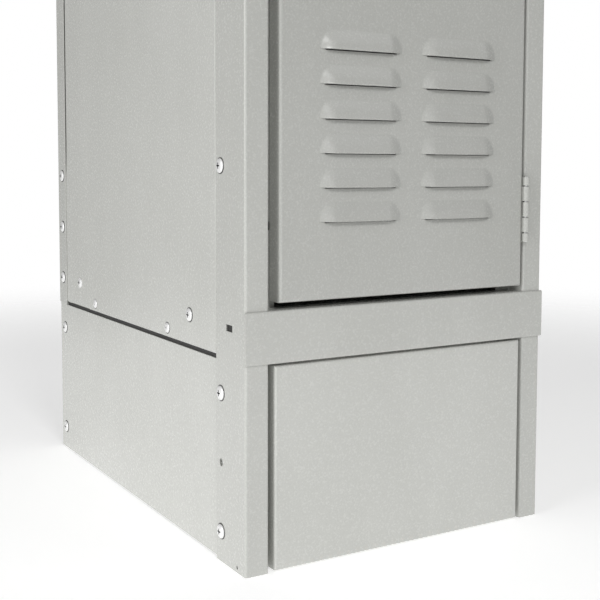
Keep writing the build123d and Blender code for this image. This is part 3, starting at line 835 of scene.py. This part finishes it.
def press_louvre(bm, x, z):
    """Slit the door face at one place and press the metal above the slit forward."""
    x0 = x - louvre_wide / 2
    x1 = x + louvre_wide / 2
    z1 = z + louvre_tall

    def inside(p):
        return x0 < p.x < x1 and z < p.z < z1

    ends = [louvre_cheek * (k / 12) ** 1.1 for k in range(1, 13)]
    columns = [x0 + e for e in ends] + [x1 - e for e in ends] + [x - 10, x, x + 10]
    # a pair of close cuts at each end of the slit, so that it opens with square ends
    columns += [x + s * (slit_wide / 2 + e) for s in (-1, 1) for e in (-0.05, 0.05)]
    slice_at(bm, 0, columns, inside)
    rows = [1.5, 3.0] + [4.2 + 1.2 * k for k in range(9)] + [15.0]
    slice_at(bm, 2, [z + row for row in rows], inside)
    slit = []
    for edge in bm.edges:
        a, b = (v.co for v in edge.verts)
        level = max(abs(a.z - z), abs(b.z - z)) < near
        if level and x0 - near < min(a.x, b.x) and max(a.x, b.x) < x1 + near:
            slit.append(edge)
    bmesh.ops.split_edges(bm, edges=slit)
    hood = {v for f in bm.faces if inside(f.calc_center_median()) for v in f.verts}
    for vert in bm.verts:
        on_slit = abs(vert.co.z - z) < near and abs(vert.co.x - x) < slit_wide / 2
        if on_slit and vert not in hood:
            vert.co.z -= slit_open
    for vert in hood:
        vert.co.y -= hood_rise(vert.co.x - x, vert.co.z - z)


def door_pan():
    """Door with its louvres, its opening for the handle and its slots for the fingers."""
    low = Vector((door_low.x, door_front, door_low.z))
    high = Vector((door_high.x, door_high.y, door_high.z))
    bm = pan(low, high, door_bend)
    cup_low, cup_high = span("handle_cup")
    rim = 7.8
    hole_x = (cup_low.x + rim, cup_high.x - rim)
    hole_z = (cup_low.z + rim, cup_high.z - rim)
    places = louvre_places()
    columns = sorted({round(x + s * louvre_wide / 2, 4) for x, _ in places for s in (-1, 1)})
    rows = sorted({round(z + s, 4) for _, z in places for s in (0, louvre_tall)})
    slice_at(bm, 0, columns)
    slice_at(bm, 2, rows)
    slice_at(bm, 0, hole_x)
    slice_at(bm, 2, hole_z)
    hole = [
        f for f in bm.faces
        if hole_x[0] < f.calc_center_median().x < hole_x[1]
        and hole_z[0] < f.calc_center_median().z < hole_z[1]
    ]
    bmesh.ops.delete(bm, geom=hole, context="FACES")
    for x, z in places:
        press_louvre(bm, x, z)
    turn_back(bm, low, high, door_bend, high.y - low.y)
    slots = [(z - slot_half, z + slot_half) for z in finger_heights]
    slot_front, slot_back = 6.0, 9.9

    def flange(p):
        return p.x < low.x + 0.2 and p.y > low.y + 2.5

    slice_at(bm, 2, [z for slot in slots for z in slot], flange)
    slice_at(bm, 1, (slot_front, slot_back), flange)
    gaps = []
    for face in bm.faces:
        p = face.calc_center_median()
        level = any(a < p.z < b for a, b in slots)
        if level and flange(p) and slot_front < p.y < slot_back:
            gaps.append(face)
    bmesh.ops.delete(bm, geom=gaps, context="FACES")
    return thicken(bm, sheet)


# the door takes the darker enamel copy: painted shade
finish_piece(
    door_pan(), "door_pan", "door", "grey_enamel", ["door_panel"], 0.25, 55, coat="door_enamel"
)


# ---------------------------------------------------------------- fasteners
ring_t = 0.22                 # painted shadow: a dark ring under a head
ring_top = 0.26               # where the head meets it
bolt_shadow_ring = 0.8               # how far it stands out
rivet_shadow_ring = 0.5


def cross_recess(bm, top, reach, wide, deep):
    """Cut a cross for a driver into a head, its inside coloured as painted shade."""
    tool = bmesh.new()
    # the cross's faces take the recess shade: painted shade
    add_block(tool, (-reach, -wide / 2, top - deep), (reach, wide / 2, top + 1))
    bm = cut_away(bm, tool, 1)
    tool = bmesh.new()
    add_block(tool, (-wide / 2, -reach, top - deep), (wide / 2, reach, top + 1))
    return cut_away(bm, tool, 1)


def head_line(r, h):
    """A low dome with a small straight rim, on its ring of painted shadow."""
    steps = 7
    rim = 0.22 * h
    line = []
    for k in range(steps + 1):
        a = math.radians(90) * k / steps
        line.append((r * math.sin(a), rim + (h - rim) * math.cos(a)))
    return line + [(r - 0.1, ring_top), (r + bolt_shadow_ring, ring_t), (r + bolt_shadow_ring, 0)]


def threaded(r, length):
    """Line of a threaded shank from its head down to its chamfered end."""
    pitch = 1.0
    line = []
    count = int((length - 0.8) / pitch)
    for k in range(count):
        line += [(r, -k * pitch), (r - 0.28, -(k + 0.5) * pitch)]
    return line + [(r, -length + 0.6), (r - 0.5, -length), (0, -length)]


def paint_shade(bm, wanted):
    """Paint shade onto the faces whose radius and height are wanted, in the recess shade."""
    for face in bm.faces:
        middle = face.calc_center_median()
        if wanted(middle.xy.length, middle.z):
            face.material_index = 1


def fastener(r, h, shank, length):
    """A round-headed screw along -Z with its head on Z = 0."""
    bm = turned(head_line(r, h) + threaded(shank, length))
    # painted shadow on the ring under the head and the foot of its rim
    paint_shade(bm, lambda out, z: 0 < z < ring_top + near and out > r - 0.2)
    return cross_recess(bm, h, 0.42 * r, 0.2 * r, 0.75 * h)


def blind_rivet(r, h, shank, length):
    """A domed rivet with the hollow that its mandrel leaves, painted shade in the hollow and a
    painted shadow ring under its head.
    """
    line = [(0, 0.25 * h), (0.26 * r, 0.25 * h), (0.3 * r, h)]
    line += [(0.3 * r + 0.7 * r * math.sin(a), h * math.cos(a)) for a in (0.35, 0.7, 1.0, 1.25)]
    line += [(r - 0.1, ring_top), (r + rivet_shadow_ring, ring_t), (r + rivet_shadow_ring, 0)]
    line += [(shank, 0), (shank, -length), (0, -length)]
    bm = turned(line)
    # painted shadow on the ring under the head
    paint_shade(bm, lambda out, z: 0 < z < ring_top + near and out > r - 0.2)
    # painted shade in the mandrel's hollow
    paint_shade(bm, lambda out, z: z > 0.2 * h and out < 0.27 * r)
    return bm


def out_way(node, middle):
    """Which way the heads of a node look along their axis."""
    if node in ("frame_bolts", "panel_bolts", "panel_rivets"):
        return 1 if middle.x > 0 else -1
    if node in ("base_screws", "trigger_rivets"):
        return 1
    return -1


def set_along(bm, target, seat, way):
    """Add a fastener to a mesh, its head standing on seat and looking along way."""
    part = bm.copy()
    turn = Vector((0, 0, 1)).rotation_difference(way).to_matrix().to_4x4()
    bmesh.ops.transform(part, matrix=Matrix.Translation(seat) @ turn, verts=part.verts)
    mesh = bpy.data.meshes.new("blank")
    part.to_mesh(mesh)
    part.free()
    target.from_mesh(mesh)
    bpy.data.meshes.remove(mesh)


def fastener_group(node, name, body, axis, h, make, slot="zinc"):
    """Every fastener of a node, each with its head at the end that out_way gives.

    h is the height of the heads, and make builds a fastener with a shank of a length.
    """
    target = bmesh.new()
    made = {}
    for low, high in islands(node):
        length = round(high[axis] - low[axis] - h, 2)
        if length not in made:
            made[length] = make(length)
        seat = (low + high) / 2
        way = Vector((0, 0, 0))
        way[axis] = out_way(node, seat)
        seat[axis] = high[axis] - h if way[axis] > 0 else low[axis] + h
        set_along(made[length], target, seat, way)
    for bm in made.values():
        bm.free()
    return finish_piece(target, name, body, slot, [node], 0.0, 38)


def bolts(node, name, axis, r, h):
    """Round-headed bolts or screws of the frame."""
    fastener_group(node, name, "frame", axis, h, lambda length: fastener(r, h, 2.5, length))


def rivets(node, name, body, axis, r, h, shank, slot="zinc"):
    """Blind rivets."""
    fastener_group(
        node, name, body, axis, h, lambda length: blind_rivet(r, h, shank, length), slot
    )


bolts("frame_bolts", "frame_bolt_set", 0, 5.9, 2.4)
bolts("panel_bolts", "panel_bolt_set", 0, 5.6, 2.2)
rivets("panel_rivets", "panel_rivet_set", "frame", 0, 4.8, 1.6, 2.4)
bolts("base_screws", "base_screw_set", 1, 4.6, 2.0)
rivets("guide_rivets", "guide_rivet_set", "door", 1, 2.8, 0.9, 1.5)
rivets("plate_rivets", "plate_rivet_set", "door", 1, 2.8, 0.9, 1.5, "aluminium_plate")
rivets("trigger_rivets", "trigger_rivet_set", "latch", 1, 2.9, 0.9, 1.6)


# ---------------------------------------------------------------- the other pieces
slots = {s["node"]: s["material_slot"] for s in frame["record"]["subparts"]}
for node, thing in frame["nodes"].items():
    if thing.hide_render:
        continue
    body = thing.parent.name.split(":")[-1]
    ease = 0.25
    if "hinge" in node:
        ease = 0.45
    elif node.endswith("nuts"):
        ease = 0.15
    softened(node, body, slots[node], ease)


# ---------------------------------------------------------------- floor, lights and camera
floor_glow = 0.5              # light that the floor gives of itself
floor_near = 0.75             # where it starts to fade, in metres from the middle
floor_far = 1.9


def plain_floor():
    """A pale floor that gives back some light and fades into the white room."""
    bm = bmesh.new()
    bmesh.ops.create_grid(bm, x_segments=1, y_segments=1, size=12)
    mesh = bpy.data.meshes.new("floor")
    bm.to_mesh(mesh)
    bm.free()
    floor = bpy.data.objects.new("floor", mesh)
    bpy.context.collection.objects.link(floor)
    finish, shader, place = new_finish("floor_paint", (0.8, 0.8, 0.8), 0.9)
    shader.inputs["Specular IOR Level"].default_value = 0.1
    shader.inputs["Emission Color"].default_value = (1, 1, 1, 1)
    shader.inputs["Emission Strength"].default_value = floor_glow
    nodes, links = finish.node_tree.nodes, finish.node_tree.links
    reach = nodes.new("ShaderNodeVectorMath")
    reach.operation = "LENGTH"
    links.new(place, reach.inputs[0])
    fade = nodes.new("ShaderNodeMapRange")
    fade.interpolation_type = "SMOOTHSTEP"
    fade.inputs["From Min"].default_value = floor_near
    fade.inputs["From Max"].default_value = floor_far
    links.new(reach.outputs["Value"], fade.inputs["Value"])
    clear = nodes.new("ShaderNodeBsdfTransparent")
    blend = nodes.new("ShaderNodeMixShader")
    links.new(fade.outputs["Result"], blend.inputs["Fac"])
    links.new(shader.outputs["BSDF"], blend.inputs[1])
    links.new(clear.outputs["BSDF"], blend.inputs[2])
    links.new(blend.outputs["Shader"], nodes["Material Output"].inputs["Surface"])
    mesh.materials.append(finish)


plain_floor()


def soft_light(name, azimuth, distance, z, size, power, aim=(0, 0, 0.35)):
    """A soft box that looks at the locker, azimuth 0 in front and 90 to its left."""
    data = bpy.data.lights.new(name, "AREA")
    data.shape = "RECTANGLE"
    data.size, data.size_y = size
    data.energy = power
    lamp = bpy.data.objects.new(name, data)
    a = math.radians(azimuth)
    lamp.location = (-distance * math.sin(a), -distance * math.cos(a), z)
    way = Vector(aim) - lamp.location
    lamp.rotation_euler = way.to_track_quat("-Z", "Y").to_euler()
    bpy.context.collection.objects.link(lamp)
    lamp.visible_camera = False


# name, azimuth, distance, height, size, power and what it is aimed at
lights = [
    ("far_right_high", -40, 5, 5, (2.5, 2.5), 28),
    ("key_left", 14, 1.7, 1.35, (0.4, 0.4), 10.0, (0, -0.2, 0.36)),
    ("far_left", 80, 4, 1.2, (2, 2), 68),
    ("low_left", 85, 1.3, 0.15, (1.0, 0.3), 1.1),
    ("low_front", 15, 0.9, 0.08, (0.6, 0.15), 0.5, (0, -0.23, 0.08)),
]
for row in lights:
    soft_light(*row)

world = bpy.data.worlds.new("white_room")
bpy.context.scene.world = world
world.use_nodes = True
nodes, links = world.node_tree.nodes, world.node_tree.links
room = nodes["Background"]
room.inputs["Color"].default_value = (1, 1, 1, 1)
room.inputs["Strength"].default_value = 0.19
seen = nodes.new("ShaderNodeBackground")
seen.inputs["Color"].default_value = (1, 1, 1, 1)
seen.inputs["Strength"].default_value = 1.0
path = nodes.new("ShaderNodeLightPath")
choose = nodes.new("ShaderNodeMixShader")
links.new(path.outputs["Is Camera Ray"], choose.inputs["Fac"])
links.new(room.outputs["Background"], choose.inputs[1])
links.new(seen.outputs["Background"], choose.inputs[2])
links.new(choose.outputs["Shader"], nodes["World Output"].inputs["Surface"])

lens = bpy.data.cameras.new("camera")
lens.sensor_width = 36
lens.lens = 62.96
lens.shift_y = -0.10
camera = bpy.data.objects.new("camera", lens)
bpy.context.collection.objects.link(camera)
camera.location = (-0.5248, -0.93705, 0.3231)
yaw, down, roll = math.radians(-30.64), math.radians(4.04), math.radians(-0.138)
look = Matrix.Rotation(yaw, 4, "Z") @ Matrix.Rotation(math.radians(90) - down, 4, "X")
camera.rotation_euler = (look @ Matrix.Rotation(-roll, 4, "Z")).to_euler()
bpy.context.scene.camera = camera
bpy.context.scene.view_settings.view_transform = "Standard"
